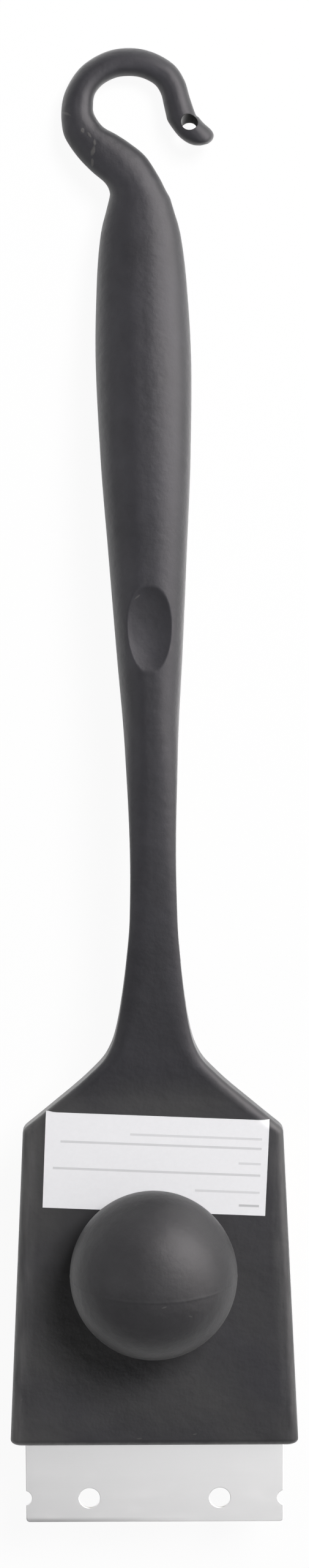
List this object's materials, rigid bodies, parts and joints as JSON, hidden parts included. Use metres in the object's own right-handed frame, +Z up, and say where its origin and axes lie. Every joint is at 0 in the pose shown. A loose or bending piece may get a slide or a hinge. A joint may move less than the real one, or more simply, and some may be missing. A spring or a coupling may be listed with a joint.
{
  "type": "grill brush",
  "caption": "Long-handled grill brush: moulded handle with hanging hook and thumb dent, ball knob on a flat head, wire bristle block below, flat steel scraper blade in front",
  "frame": {"origin": "centre of the bounding box's floor face: the surface that the bristle tips and the hook's far end stand on", "axes": "+Z up, +Y from the scraper blade towards the hanging hook, +X to the right seen from above with the hook away from the viewer"},
  "size_m": [0.0888, 0.45, 0.0944],
  "materials": {
    "handle_plastic": "fine matte moulded polypropylene",
    "block_plastic": "matte moulded polypropylene",
    "knob_plastic": "satin moulded plastic with a faint mould line",
    "blade_steel": "fine brushed stainless steel",
    "screw_steel": "zinc plated",
    "insert_brass": "turned brass",
    "bristle_wire": "crimped brass plated wire",
    "label_paper": "white paper sticker with plain grey rules"
  },
  "bodies": {
    "root": {"handle_body": "handle_plastic", "brush_block": "block_plastic", "scraper_blade": "blade_steel", "ball_knob": "knob_plastic", "knob_insert": "insert_brass", "knob_screw": "screw_steel", "knob_washer": "screw_steel", "block_screw_1": "screw_steel", "block_screw_2": "screw_steel", "block_screw_3": "screw_steel", "block_screw_4": "screw_steel", "bristle_row_01": "bristle_wire", "bristle_row_02": "bristle_wire", "bristle_row_03": "bristle_wire", "bristle_row_04": "bristle_wire", "bristle_row_05": "bristle_wire", "bristle_row_06": "bristle_wire", "bristle_row_07": "bristle_wire", "bristle_row_08": "bristle_wire", "bristle_row_09": "bristle_wire", "label": "label_paper"}
  },
  "joints": []
}
